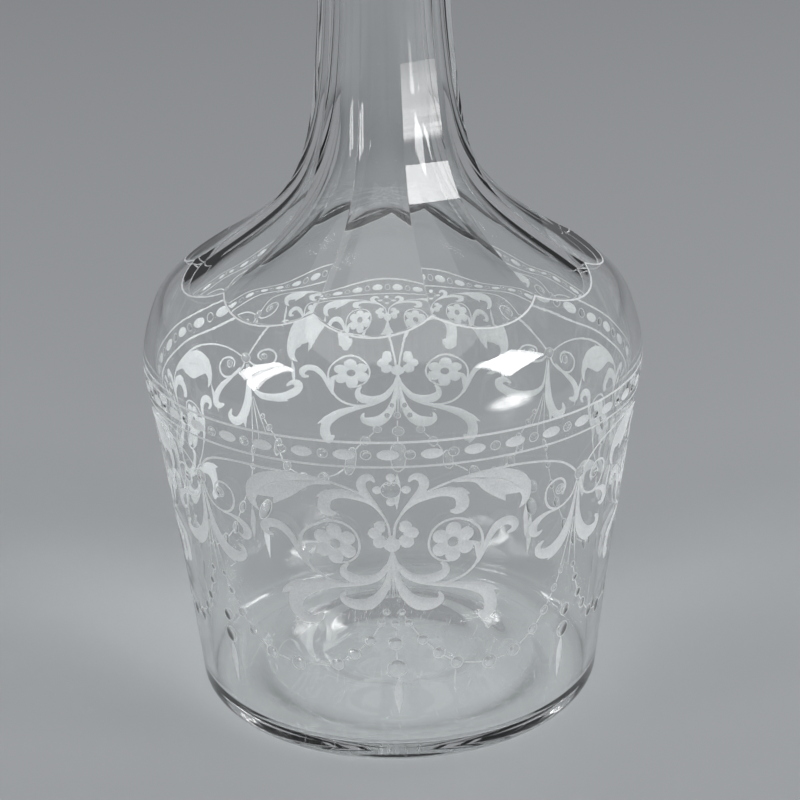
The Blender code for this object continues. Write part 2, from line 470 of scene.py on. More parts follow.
def turned(outline, azimuths, finish=CLEAR):
    """Turned stretch from a list of radius and height, its normals square to the outline."""
    outline = np.array(outline, float)
    along = unit(np.gradient(outline, axis=0))
    points = around(outline[:, :1], outline[:, 1:], azimuths)
    return grid(points, around(along[:, 1:], -along[:, :1], azimuths), finish)


def ripple(azimuths, heights):
    """Depth of the slow waves: sines over azimuth and height, faded out at both ends of the wall."""
    climb = np.clip((heights - ripple_low) / (ripple_high - ripple_low), 0, 1)
    waves = sum(
        depth * np.sin(count * azimuths + 2 * math.pi * rises * climb + start)
        for depth, count, rises, start in ripples
    )
    return waves * np.sin(math.pi * climb) ** 2


def rippled(surface):
    """Blown surface moved out by the ripple, its normals turned by the ripple's slopes."""
    x, y, heights = surface.points.T
    azimuths = np.arctan2(x, -y)
    out = around(1, 0, azimuths)
    round_way = around(1, 0, azimuths + math.pi / 2)
    turn = even_step / np.maximum(np.hypot(x, y), MM)
    turn_slope = ripple(azimuths + turn, heights) - ripple(azimuths - turn, heights)
    rise_slope = ripple(azimuths, heights + even_step) - ripple(azimuths, heights - even_step)
    lean = (turn_slope[:, None] * round_way + rise_slope[:, None] * (0, 0, 1)) / (2 * even_step)
    facing = (surface.normals * out).sum(1)[:, None]
    surface.normals = unit(surface.normals - facing * lean)
    surface.points = surface.points + out * ripple(azimuths, heights)[:, None]
    return surface


class Cuts:
    """Flat cuts round a turned body, as columns: which flat, how far across it, and how much the
    rounded ridge between two flats has turned."""

    def __init__(self):
        across = np.append(np.linspace(-1, 1, panel_columns + 1), 1)
        lean = np.append(np.zeros(panel_columns + 1), half_panel)
        self.count = panels * len(across)
        self.middle = np.repeat(panel_turn + 2 * half_panel * np.arange(panels), len(across))
        self.across = np.tile(across, panels)
        self.lean = np.tile(lean, panels)
        columns = np.arange(self.count) - panel_columns / 2
        self.even = panel_turn + 2 * math.pi / self.count * columns

    def offsets(self, flats):
        """Distance out from the axis and along the flat: a smaller sharp polygon plus a circle."""
        inner = flats - ridge_round
        out = inner + ridge_round * np.cos(self.lean)
        side = inner * self.across * math.tan(half_panel) + ridge_round * np.sin(self.lean)
        return out, side

    def azimuths(self, heights, outline):
        """Azimuth of each column at its own height."""
        out, side = self.offsets(outline.radius(heights))
        return self.middle + np.arctan2(side, out)

    def surface(self, heights, outline):
        """Grid of the cut flats at these heights, one row for each height of every column."""
        out, side = self.offsets(outline.radius(heights))
        points = around(np.hypot(out, side), heights, self.azimuths(heights, outline))
        steeper = np.cos(self.lean) + self.across * math.tan(half_panel) * np.sin(self.lean)
        return grid(points, slope_normals(outline.slope(heights) * steeper, self.middle + self.lean))

    def crossings(self, outline, body, low, high):
        """Heights where each column dives into the body and comes out again."""
        heights = np.linspace(low, high, crossing_steps)
        out, side = self.offsets(outline.radius(heights)[:, None])
        above = np.hypot(out, side) - body.radius(heights)[:, None]
        first = np.argmax(above < 0, axis=0)
        last = len(heights) - 1 - np.argmax(above[::-1] < 0, axis=0)
        columns = np.arange(self.count)
        step = heights[1] - heights[0]
        enter, before = above[first, columns], above[first - 1, columns]
        leave, after = above[last, columns], above[last + 1, columns]
        start = heights[first] - step * enter / (enter - before)
        end = heights[last] + step * leave / (leave - after)
        return start, end

    def close(self, below, first, last, above):
        """Moves the turned stretches below and above onto the ends of the first and last flats."""
        below.points[-self.count :] = first.points[: self.count]
        above.points[: self.count] = last.points[-self.count :]

    def round_edge(self, low, high):
        """Turns the normals of two stretches that meet half way to each other, as on a worn edge."""
        both = unit(low.normals[-self.count :] + high.normals[: self.count])
        low.normals[-self.count :] = both
        high.normals[: self.count] = both


def rows_between(start, end, count, power=1.0):
    """Heights in rows from start to end of each column, closer to the start for a power over 1."""
    share = np.linspace(0, 1, count + 1)[:, None] ** power
    return start + (end - start) * share


def edged_rows(start, end, count, power=1.0):
    """The same rows with one more beside each end, as far from it as an edge is rounded."""
    rows = rows_between(start + edge_round, end - edge_round, count, power)
    ends = [np.broadcast_to(height, rows.shape[1:])[None] for height in (start, end)]
    return np.vstack([ends[0], rows, ends[1]])


def add_object(name, data):
    """Object with this data, put into the scene."""
    thing = bpy.data.objects.new(name, data)
    bpy.context.scene.collection.objects.link(thing)
    return thing


def make_piece(name, surfaces, materials):
    """Welds the stretches into one closed mesh that keeps each stretch's own normals."""
    points = np.vstack([surface.points for surface in surfaces])
    starts = np.cumsum([0] + [len(surface.points) for surface in surfaces])
    faces = []
    finishes = []
    facing = []
    for surface, start in zip(surfaces, starts):
        faces += (surface.faces + start).tolist()
        finishes += [surface.finish] * len(surface.faces)
        facing.append(surface.normals[surface.faces.ravel()])
    mesh = bpy.data.meshes.new(name)
    mesh.from_pydata(points.tolist(), [], faces)
    mesh.polygons.foreach_set("material_index", finishes)
    mesh.attributes.new("facing", "FLOAT_VECTOR", "CORNER")
    mesh.attributes["facing"].data.foreach_set("vector", np.vstack(facing).ravel())
    welded = bmesh.new()
    welded.from_mesh(mesh)
    bmesh.ops.remove_doubles(welded, verts=welded.verts, dist=weld_distance)
    welded.to_mesh(mesh)
    welded.free()
    mesh.shade_smooth()
    kept = np.empty(len(mesh.loops) * 3, np.float32)
    mesh.attributes["facing"].data.foreach_get("vector", kept)
    mesh.normals_split_custom_set(kept.reshape(-1, 3))
    mesh.attributes.remove(mesh.attributes["facing"])
    for material in materials:
        mesh.materials.append(material)
    return add_object(name, mesh)


# Strokes of the large motif's right half, in millimetres: distance from its middle, height, half width.
# The front's left half and the back differ in a few of them.
vine = [
    (0.5, 65.6, 0.3), (0.9, 68.6, 0.3), (2.4, 71.6, 0.3), (4.9, 74.6, 0.3), (8.2, 77.1, 0.3),
    (12.2, 78.9, 0.3), (17.0, 80.2, 0.3), (22.5, 80.9, 0.28), (28.0, 80.9, 0.28), (33.0, 80.3, 0.28),
    (37.5, 79.3, 0.28), (41.2, 77.9, 0.28), (44.2, 76.0, 0.28), (46.4, 74.0, 0.28),
]
horn = [
    (1.2, 69.6, 0.15), (2.9, 72.4, 0.45), (4.9, 75.0, 0.75), (6.6, 77.2, 1.0), (7.3, 79.0, 1.1),
    (6.9, 80.5, 1.1), (5.7, 81.3, 0.95), (4.7, 81.0, 0.7), (4.1, 80.2, 0.35),
]
curl = [
    (1.8, 70.8, 0.1), (4.6, 74.0, 0.45), (8.0, 75.8, 0.8), (11.6, 76.7, 1.15), (14.6, 76.0, 1.4),
    (15.9, 74.2, 1.5), (15.9, 72.4, 1.5), (14.9, 71.3, 0.95), (13.6, 71.4, 0.45),
]
curl_spur = [(13.2, 77.1, 0.3), (15.5, 76.5, 0.85), (17.6, 75.4, 0.1)]
leaf_upper = [
    (14.0, 79.3, 0.2), (18.0, 79.9, 0.4), (22.0, 79.8, 1.0), (26.0, 78.9, 1.5), (29.2, 77.1, 1.7),
    (31.1, 74.6, 1.7), (31.8, 72.0, 1.15), (31.3, 70.3, 0.75), (30.2, 69.0, 0.1),
]
leaf_lower = [
    (14.0, 79.1, 0.2), (18.5, 78.9, 0.6), (21.5, 77.3, 1.6), (24.3, 75.7, 2.1), (27.2, 74.9, 1.6),
    (30.2, 73.9, 0.8),
]
leaf_spur = [(23.2, 74.8, 0.8), (25.0, 73.9, 1.1), (26.4, 71.8, 0.1)]
raised_spur = [(24.4, 77.9, 0.9), (26.4, 79.0, 0.8), (27.9, 80.2, 0.1)]
leaf_vein = [
    (16.5, 79.5, 0.1), (21.0, 78.8, 0.16), (24.6, 77.9, 0.2), (27.6, 76.3, 0.2), (30.2, 74.0, 0.1),
]
ring = [
    (13.3, 58.0, 0.2), (10.9, 58.6, 0.25), (9.1, 60.4, 0.28), (8.4, 63.2, 0.28), (9.2, 66.4, 0.28),
    (11.3, 68.5, 0.28), (14.3, 69.3, 0.28), (17.5, 68.5, 0.28), (20.1, 66.2, 0.3), (21.2, 63.3, 0.3),
    (21.1, 60.1, 0.4), (19.8, 56.3, 0.35), (17.2, 53.8, 0.32), (13.8, 52.5, 0.3), (10.5, 52.2, 0.3),
]
ring_spur = [(20.4, 57.0, 0.2), (20.3, 59.6, 0.7), (19.9, 61.5, 0.7), (18.5, 62.5, 0.3)]
outer = [
    (20.4, 56.4, 0.15), (21.6, 59.4, 0.5), (22.9, 63.0, 0.8), (24.9, 65.7, 1.1), (27.4, 66.4, 1.15),
    (29.3, 65.3, 1.1), (29.2, 63.7, 0.75), (27.7, 63.1, 0.35),
]
arm = [
    (0.15, 61.6, 0.15), (1.3, 57.6, 0.5), (3.6, 54.6, 0.7), (7.0, 52.9, 0.6), (11.0, 51.9, 0.5),
    (15.5, 51.2, 0.9), (19.7, 50.1, 1.35), (22.7, 48.3, 1.6), (24.1, 45.8, 1.65), (24.1, 43.2, 1.7),
    (22.9, 41.5, 1.1), (21.8, 42.3, 0.7),
]
arm_spur = [(20.3, 50.4, 0.3), (23.2, 49.3, 0.8), (26.4, 47.8, 0.1)]
arm_hook = [
    (1.0, 58.6, 0.15), (4.0, 55.1, 0.6), (7.4, 53.9, 0.95), (10.6, 54.1, 1.25), (12.4, 55.4, 1.05),
    (12.3, 57.0, 0.7), (11.4, 57.8, 0.3),
]
foot = [
    (0.1, 61.4, 0.2), (0.5, 57.2, 0.5), (1.5, 52.8, 0.9), (3.2, 49.4, 1.4), (6.0, 47.1, 1.8),
    (9.1, 46.8, 1.6), (11.2, 47.6, 1.0), (11.4, 48.9, 0.6), (10.8, 49.9, 0.2),
]
bud = [(31.9, 69.8, 0.05), (32.1, 66.8, 0.55), (32.4, 64.6, 0.6), (32.5, 62.6, 0.4), (32.6, 60.3, 0.05)]
rays = [
    [(0.3, 60.0, 0.1), (0.6, 54.0, 0.12), (0.9, 49.6, 0.05)],
    [(0.1, 60.0, 0.08), (0.15, 54.5, 0.12), (0.2, 49.0, 0.05)],
]
half_flower = [
    [(2.7, 67.7, 1.1), (2.9, 68.0, 1.3), (3.1, 68.3, 1.5)],
    [(3.7, 66.3, 1.1), (4.1, 66.3, 1.3), (4.6, 66.4, 1.6)],
    [(2.7, 64.8, 1.1), (3.0, 64.4, 1.4), (3.4, 64.0, 1.65)],
]
large_strokes = [
    horn, curl, curl_spur, leaf_upper, leaf_lower, ring, ring_spur, outer, arm_hook, bud, *rays,
    *half_flower,
]
right_strokes = [vine, arm, arm_spur, foot]
left_vine = vine[:9] + [
    (33.5, 80.9, 0.28), (39.0, 80.3, 0.28), (42.4, 79.5, 0.28), (45.2, 78.0, 0.28), (47.1, 75.8, 0.28),
]
left_arm = arm[:3] + [
    (7.0, 53.0, 0.6), (11.0, 52.3, 0.6), (15.5, 52.1, 1.1), (19.2, 51.3, 1.6), (22.2, 49.2, 1.9),
    (23.8, 46.2, 1.75), (23.6, 43.4, 1.6), (21.8, 41.6, 1.3), (19.6, 41.8, 1.0), (18.6, 43.2, 0.5),
]
left_arm_spur = [(19.8, 51.6, 0.5), (22.9, 50.6, 1.2), (25.6, 48.8, 0.8), (27.0, 47.4, 0.1)]
left_foot = foot[:2] + [
    (1.6, 52.8, 0.9), (3.7, 49.4, 1.3), (6.9, 47.1, 1.6), (10.4, 46.9, 1.4), (12.7, 47.9, 1.0),
    (13.0, 49.2, 0.6), (12.3, 50.2, 0.2),
]
left_strokes = [left_vine, left_arm, left_arm_spur, left_foot]
large_dot = (3.4, 77.9, 1.05)
low_petal = [(0.0, 65.0, 0.9), (0.0, 64.2, 1.5), (0.0, 63.2, 1.9)]
middle_dots = [(0.1, 81.2, 1.05), (0.0, 74.7, 1.05)]
middle_lens = (0.0, 77.9, 2.3)
flower_place = (14.1, 63.1)
petal_ring = 3.5
petal_radius = 1.82
petal_turns = np.radians(np.arange(30, 390, 60))
flower_eye = 1.3
flower_middle = 2.6
flower_depth = 0.1

# Strokes of the small motif's right half
spiral = [
    (0.7, 70.9, 0.3), (1.7, 68.0, 0.3), (3.9, 66.1, 0.3), (6.6, 65.5, 0.3), (9.2, 66.6, 0.3),
    (10.6, 69.2, 0.3), (10.4, 71.9, 0.28), (8.9, 73.3, 0.28), (6.7, 73.5, 0.28), (5.1, 72.3, 0.28),
    (4.6, 70.4, 0.28), (5.3, 69.0, 0.25),
]
side_leaf = [
    (6.0, 65.2, 0.15), (9.0, 65.2, 0.4), (11.6, 64.4, 0.8), (13.3, 62.8, 1.15), (13.3, 61.1, 1.2),
    (12.1, 60.2, 0.7), (10.8, 60.7, 0.3),
]
low_leaf = [
    (0.2, 70.6, 0.15), (0.7, 66.0, 0.5), (1.4, 61.5, 0.9), (3.0, 57.3, 1.5), (5.8, 54.5, 1.8),
    (8.8, 54.0, 1.5), (11.0, 54.9, 1.1), (11.2, 56.6, 0.85), (10.0, 57.6, 0.3),
]
low_spur = [(4.2, 54.2, 0.6), (6.2, 53.1, 0.8), (7.9, 51.8, 0.1)]
ray = [(0.3, 61.0, 0.08), (1.6, 54.0, 0.16), (2.7, 48.5, 0.08)]
small_strokes = [spiral, side_leaf, low_leaf, low_spur, ray]
back_spiral = [
    (0.7, 72.0, 0.3), (1.7, 70.4, 0.3), (3.9, 69.3, 0.3), (6.6, 68.9, 0.3), (9.2, 69.6, 0.3),
    (10.6, 71.4, 0.3), (10.4, 73.3, 0.28), (8.9, 74.3, 0.28), (6.7, 74.4, 0.28), (5.1, 73.7, 0.28),
    (4.6, 72.4, 0.28), (5.3, 71.2, 0.25),
]
near_leaf = [
    (0.3, 70.6, 0.15), (0.4, 66.5, 0.25), (0.9, 62.9, 0.5), (3.6, 60.2, 0.9), (8.0, 58.7, 1.1),
    (12.0, 58.5, 1.2), (15.2, 59.4, 1.3), (16.2, 60.9, 1.2), (14.4, 62.0, 0.8), (12.4, 61.5, 0.4),
]
near_spur = [(7.5, 58.4, 0.8), (9.6, 57.8, 0.8), (12.0, 56.8, 0.1)]
far_leaf = [
    (0.3, 70.6, 0.2), (0.6, 67.0, 0.6), (1.2, 63.0, 1.1), (2.4, 59.4, 1.5), (4.6, 56.5, 1.7),
    (7.2, 55.4, 1.5), (9.2, 56.4, 1.2), (9.8, 58.2, 0.9), (8.8, 59.6, 0.4),
]
far_spur = [(3.6, 56.8, 0.8), (4.4, 54.8, 0.8), (4.6, 52.4, 0.1)]
back_leaf = [
    (2.9, 70.3, 0.2), (6.8, 68.7, 0.5), (10.6, 67.7, 0.9), (13.4, 66.0, 1.2), (14.5, 63.9, 1.3),
    (13.4, 62.4, 1.0), (11.6, 62.2, 0.5),
]
back_lens = (6.6, 72.4, 1.1)
small_middle = [
    [(0.0, 61.0, 0.08), (0.0, 54.0, 0.16), (0.2, 47.6, 0.08)],
    [(0.8, 27.4, 0.06), (0.8, 25.4, 0.75), (0.8, 22.8, 1.1), (0.8, 19.8, 0.8), (0.8, 15.8, 0.06)],
]
small_lens = (6.3, 70.6, 1.4)
small_beads = [(1.1, 35.0, 1.8), (1.0, 29.5, 2.2)]
knot = (0.0, 72.9, 1.75)

# Beads and dashes of the garland, from the middle of a large motif to the middle of a small one
pendant_beads = [(0.3, 41.7, 1.1), (0.2, 36.1, 1.9), (0.5, 29.0, 2.6)]
pendant_dashes = [
    [(0.35, 40.0, 0.18), (0.35, 37.7, 0.18)],
    [(0.4, 33.9, 0.18), (0.5, 31.4, 0.18)],
    [(0.9, 26.2, 0.06), (0.8, 24.4, 0.75), (0.7, 22.2, 1.1), (0.7, 19.6, 0.8), (0.7, 16.2, 0.06)],
]
swag_beads = [
    (2.0, 44.9, 0.9), (3.6, 41.8, 1.0), (7.0, 36.9, 1.4), (11.2, 32.8, 1.6), (15.9, 29.5, 1.7),
    (24.9, 28.0, 2.0), (32.1, 29.3, 1.7), (37.6, 33.6, 1.5), (41.0, 37.8, 1.3), (43.8, 43.0, 1.1),
    (45.6, 47.2, 0.9),
]

# Band of ovals between two ring lines
ring_lines = [90.1, 83.9]
ring_line_width = 0.28
ring_line_step = 3 * grain
oval_height = 87.0
oval_count = 39
oval_start = -113.53
oval_size = (2.4, 1.3)
band_lens = 1.25

# Middles of the motifs along the unrolled wall, how far the large ones reach to the left and right,
# and how much higher the back's garland hangs
small_places = [-137.8, -50.8, 47.1, 134.8]
large_places = [(-93.3, 44.5, 42.5), (-1.05, 49.75, 48.15), (89.6, 42.5, 45.2), (181.2, 46.4, 45.4, 7.0)]

# The drawn half reaches this far, and is stretched in stretches where the front's left half is uneven
design_span = 48.15
front_left_design = [0, 7.3, 14.1, 17.5, 21.4, 32.8, 48.15]
front_left_cut = [0, 6.3, 13.2, 16.4, 21.9, 34.6, 49.75]


class Cut:
    """One closed cut of the flat sheet: its rim, the points inside it, its spine and its finish."""

    def move(self, along):
        """The same cut further along the wall."""
        moved = copy.copy(self)
        for part in ("rim", "inner", "spine"):
            setattr(moved, part, getattr(self, part) + (along, 0))
        return moved


class Stroke(Cut):
    """Matt wheel cut along a curve: its rim is the curve moved sideways by the half width, and its
    depth falls from the curve to the rim as one minus the squared share of the half width."""

    def __init__(self, stroke, place, deepest=None):
        curve = smooth(stroke, stroke_steps)
        curve[:, 2] = np.maximum(curve[:, 2], thinnest)
        line = curve[:, :2]
        along = unit(np.gradient(line, axis=0))
        side = np.stack([-along[:, 1], along[:, 0]], 1) * curve[:, 2:]
        tips = []
        for end, way in ((-1, 1), (0, -1)):
            turns = np.radians(tip_turns)[:, None] * way
            tip = side[end] * np.sin(turns) + way * along[end] * curve[end, 2] * np.cos(turns)
            tips.append(line[end] + tip if curve[end, 2] > blunt_width else tip[:0])
        wide = curve[:, 2] > wide_stroke
        inner = [line[1:-1:2], (line + side / 2)[wide][::2], (line - side / 2)[wide][::2]]
        self.rim = place(np.vstack([line + side, tips[0], (line - side)[::-1], tips[1]]))
        self.inner = place(np.vstack(inner))
        self.spine = place(line)
        self.widths = curve[:, 2]
        self.deepest = deepest
        self.finish = MATT

    def depth(self, points):
        """How deep each point lies in the cut, and below zero outside it."""
        start, step = self.spine[:-1], np.diff(self.spine, axis=0)
        offset = points[:, None] - start
        share = (offset * step).sum(2) / np.maximum((step**2).sum(1), never_zero)
        share = np.clip(share, 0, 1)
        width = self.widths[:-1] + np.diff(self.widths) * share
        ratio = ((offset - share[..., None] * step) ** 2).sum(2) / width**2
        nearest = np.argmin(ratio, axis=1)
        rows = np.arange(len(points))
        deepest = self.deepest or np.minimum(cut_limit, cut_share * width[rows, nearest])
        return deepest * (1 - ratio[rows, nearest])


class Oval(Cut):
    """Oval or round cut: its depth falls from the middle as one minus the squared share of the way out."""

    def __init__(self, middle, size, place, deepest, finish=MATT, rings=inner_rings):
        count = 4 * round((oval_points + points_each_millimetre * np.max(size)) / 4)
        turns = np.linspace(0, 2 * math.pi, count, endpoint=False)
        ring = np.stack([np.cos(turns), np.sin(turns)], 1) * size
        inner = [ring[::step] * share for share, step in rings]
        self.spine = place(np.array([middle], float))[0]
        self.rim = self.spine + ring
        self.inner = self.spine + np.vstack([*inner, [(0, 0)]])
        self.size = size
        self.deepest = deepest
        self.finish = finish

    def depth(self, points):
        """How deep each point lies in the cut, and below zero outside it."""
        return self.deepest * (1 - (((points - self.spine) / self.size) ** 2).sum(1))


def lens(along, up, radius, place, finish=CLEAR):
    """Polished round cut."""
    return Oval((along, up), radius, place, lens_depth_share * radius, finish)


def rimmed(along, up, radius, place, finish=DULL):
    """Round cut, polished but for its rim: a thin, shallow matt ring, whose white is also a painted highlight
    for the bright line that light catches on the cut's sharp edge.
    """
    rim = Oval((along, up), radius, place, rim_depth, rings=())
    return [rim, lens(along, up, radius - rim_width, place, finish)]


def dot(along, up, radius, place):
    """Matt round cut."""
    return Oval((along, up), radius, place, min(cut_limit, dot_depth_share * radius))


def placing(middle, way=1, design=(0, design_span), cut=(0, design_span), lift=0.0):
    """Function that puts a half motif's points on the wall: mirrored for way -1, stretched from the
    design's places to the cut's, and lifted."""

    def place(points):
        along = np.interp(points[:, 0], design, cut) + np.minimum(points[:, 0], 0)
        return np.stack([middle + way * along, points[:, 1] + lift], 1)

    return place


def as_drawn(points):
    """Points that are already where they lie on the wall."""
    return np.asarray(points, float)


def dashes(beads):
    """Short thin strokes between neighbouring beads, where there is room for one."""
    strokes = []
    for near, far in zip(beads[:-1], beads[1:]):
        step = np.subtract(far[:2], near[:2])
        length = np.linalg.norm(step)
        first, last = near[2] + dash_gap, length - far[2] - dash_gap
        if last > first + 2 * dash_gap:
            strokes.append([(*(near[:2] + step / length * at), dash_width) for at in (first, last)])
    return strokes


def flower(centre):
    """Shallow matt round with a ring of matt petals and a polished eye."""
    cuts = [Oval(centre, flower_middle, as_drawn, flower_depth)]
    for turn in petal_turns:
        petal = centre + petal_ring * np.array([math.cos(turn), math.sin(turn)])
        cuts.append(dot(*petal, petal_radius, as_drawn))
    return [*cuts, lens(*centre, flower_eye, as_drawn)]


def large_motif(middle, left, right, lift=0.0):
    """Scrolled flower spray with its half of the garland to each side."""
    here = placing(middle)
    hung = placing(middle, lift=lift)
    cuts = [dot(*place, here) for place in middle_dots] + rimmed(*middle_lens, here, CLEAR)
    cuts.append(Stroke(low_petal, here))
    for bead in pendant_beads:
        cuts += rimmed(*bead, hung)
    cuts += [Stroke(stroke, hung) for stroke in pendant_dashes]
    for way, span in ((-1, left), (1, right)):
        shares = [(0, design_span), (0, span)]
        own = right_strokes
        if span == front_left_cut[-1]:
            shares = [front_left_design, front_left_cut]
            own = left_strokes
        place = placing(middle, way, *shares)
        spur = raised_spur if design_span < way * middle < 2 * design_span else leaf_spur
        cuts += [Stroke(stroke, place) for stroke in [*large_strokes, *own, spur]]
        cuts.append(Stroke(leaf_vein, place, vein_depth))
        cuts.append(dot(*large_dot, place))
        hung = placing(middle, way, *shares, lift)
        for bead in swag_beads:
            cuts += rimmed(*bead, hung)
        cuts += [Stroke(dash, hung) for dash in dashes(swag_beads)]
        cuts += flower(place(np.array([flower_place]))[0])
    return cuts


def small_motif(middle):
    """Knot with two spirals, two hooked leaves and two hanging leaves, which differ at the back."""
    here = placing(middle)
    cuts = rimmed(*knot, here)
    for bead in small_beads:
        cuts += rimmed(*bead, here)
    cuts += [Stroke(stroke, here) for stroke in small_middle]
    for way in (-1, 1):
        place = placing(middle, way)
        strokes, bead = small_strokes, small_lens
        if abs(middle) > turn_round / 4:
            leaves = [near_leaf, near_spur] if way * middle > 0 else [far_leaf, far_spur, back_leaf]
            strokes, bead = [back_spiral, ray, *leaves], back_lens
        cuts += [Stroke(stroke, place) for stroke in strokes] + rimmed(*bead, place)
    return cuts


def band():
    """Two rings round the vessel, with matt ovals and polished rounds between them."""
    places = oval_start + turn_round * np.arange(oval_count) / oval_count
    cuts = [Oval((x, oval_height), oval_size, as_drawn, cut_limit) for x in places]
    for x in places + turn_round / oval_count / 2:
        cuts += rimmed(x, oval_height, band_lens, as_drawn, CLEAR)
    steps = np.arange(sheet_start - 2 * grain, sheet_start + turn_round + 2 * grain, ring_line_step)
    for height in ring_lines:
        cuts.append(Stroke([(x, height, ring_line_width) for x in steps], as_drawn))
    return cuts


def engraving():
    """Every cut of the wall, the polished ones last, those that cross the sheet's ends at both ends."""
    cuts = band()
    for place in large_places:
        cuts += large_motif(*place)
    for middle in small_places:
        cuts += small_motif(middle)
    cuts.sort(key=lambda cut: cut.finish != MATT)
    moved = [cut.move(shift) for cut in cuts for shift in (-turn_round, 0, turn_round)]
    low, high = sheet_start - grain, sheet_start + turn_round + grain
    return [cut for cut in moved if cut.rim[:, 0].max() > low and cut.rim[:, 0].min() < high]


def sheet_points(cuts, low_edge, high_edge):
    """Points of the flat sheet, with the edges that its triangles have to keep."""
    start, end = sheet_start, sheet_start + turn_round
    low, high = low_edge[0, 1], high_edge[0, 1]
    climb = np.arange(low + grain, high - grain / 2, grain)
    right = np.stack([np.full(len(climb), end), climb], 1)
    left = np.stack([np.full(len(climb), start), climb[::-1]], 1)
    loops = [np.vstack([low_edge, right, high_edge[::-1], left])] + [cut.rim for cut in cuts]
    row = np.arange(low + grain / 2, high - grain / 3, grain * math.sqrt(0.75))
    column = np.arange(start + grain / 2, end - grain / 3, grain)
    x, z = np.meshgrid(column, row)
    x[::2] += grain / 2
    loose = np.stack([x.ravel(), z.ravel()], 1)
    loose = loose[loose[:, 0] < end - grain / 3]
    points = np.vstack([*loops, loose, *[cut.inner for cut in cuts]])
    edges = []
    first = 0
    for loop in loops:
        ring = first + np.arange(len(loop))
        edges += np.stack([ring, np.roll(ring, -1)], 1).tolist()
        first += len(loop)
    return points, edges


def sides(points, faces):
    """The two sides of each triangle that start at its first corner."""
    first, second, third = (points[faces[:, i]] for i in range(3))
    return second - first, third - first


def triangles(points, edges):
    """Delaunay triangles of the flat sheet that keep the given edges."""
    flat, _, faces, *_ = delaunay_2d_cdt([Vector(p) for p in points], edges, [], 0, merge_under, False)
    flat = np.array([tuple(p) for p in flat])
    faces = np.array(faces)
    middle = flat[faces].mean(1)
    inside = (middle[:, 0] > sheet_start) & (middle[:, 0] < sheet_start + turn_round)
    inside &= (middle[:, 1] > points[:, 1].min()) & (middle[:, 1] < points[:, 1].max())
    faces = faces[inside]
    one, other = sides(flat, faces)
    area = one[:, 0] * other[:, 1] - one[:, 1] * other[:, 0]
    faces[area < 0] = faces[area < 0][:, ::-1]
    return flat, faces[np.abs(area) > smallest_area]


def corner_normals(points, faces):
    """Normal of each point as the sum of its triangles' normals, each as long as its area."""
    square = np.cross(*sides(points, faces))
    normals = np.zeros_like(points)
    for i in range(3):
        np.add.at(normals, faces[:, i], square)
    return normals / np.maximum(np.linalg.norm(normals, axis=1), never_zero)[:, None]


def engraved_wall(low_edge, high_edge):
    """The wall as one sheet: clear glass, matt cuts and polished cuts, each with its own normals."""
    cuts = engraving()
    flat, faces = triangles(*sheet_points(cuts, low_edge, high_edge))
    middle = flat[faces].mean(1)
    depth = np.zeros(len(flat))
    finish = np.full(len(faces), -1)
    for cut in cuts:
        low, high = cut.rim.min(0), cut.rim.max(0)
        near = np.flatnonzero(((middle > low) & (middle < high)).all(1))
        inside = near[cut.depth(middle[near]) > 0]
        finish[inside] = cut.finish
        corners = np.unique(faces[inside])
        depth[corners] = np.maximum(depth[corners], cut.depth(flat[corners]))
    plain = faces[finish < 0]
    depth[np.unique(plain)] = 0
    azimuths, heights = (flat * MM).T
    azimuths = azimuths / unrolled_radius
    points = around(BLOWN.radius(heights) - depth * MM, heights, azimuths)
    surfaces = [Surface(points, slope_normals(BLOWN.slope(heights), azimuths), plain)]
    for kind in (CLEAR, MATT, DULL):
        cut_faces = faces[finish == kind]
        surfaces.append(Surface(points, corner_normals(points, cut_faces), cut_faces, kind))
    return surfaces


def line_heights(start, turns):
    """How far the scallop line reaches down at each column, so that it is as wide on steep stretches."""
    ahead = (np.roll(turns, -1) - turns) % (2 * math.pi)
    behind = (turns - np.roll(turns, 1)) % (2 * math.pi)
    climb = (np.roll(start, -1) - np.roll(start, 1)) / (BLOWN.radius(start) * (ahead + behind))
    meridian = np.sqrt(1 + BLOWN.slope(start) ** 2)
    climb = np.clip(climb * meridian, -steepest_line, steepest_line)
    return scallop_line * np.sqrt(1 + climb**2) / meridian


def wall_edge(azimuths, height):
    """Edge of the unrolled sheet at the columns of the surface beside it."""
    along = azimuths * unrolled_radius / MM
    along = np.sort((along - sheet_start) % turn_round) + sheet_start
    along = np.append(along, sheet_start + turn_round)
    if along[0] > sheet_start + merge_under:
        along = np.append(sheet_start, along)
    return np.stack([along, np.full(len(along), height / MM)], 1)


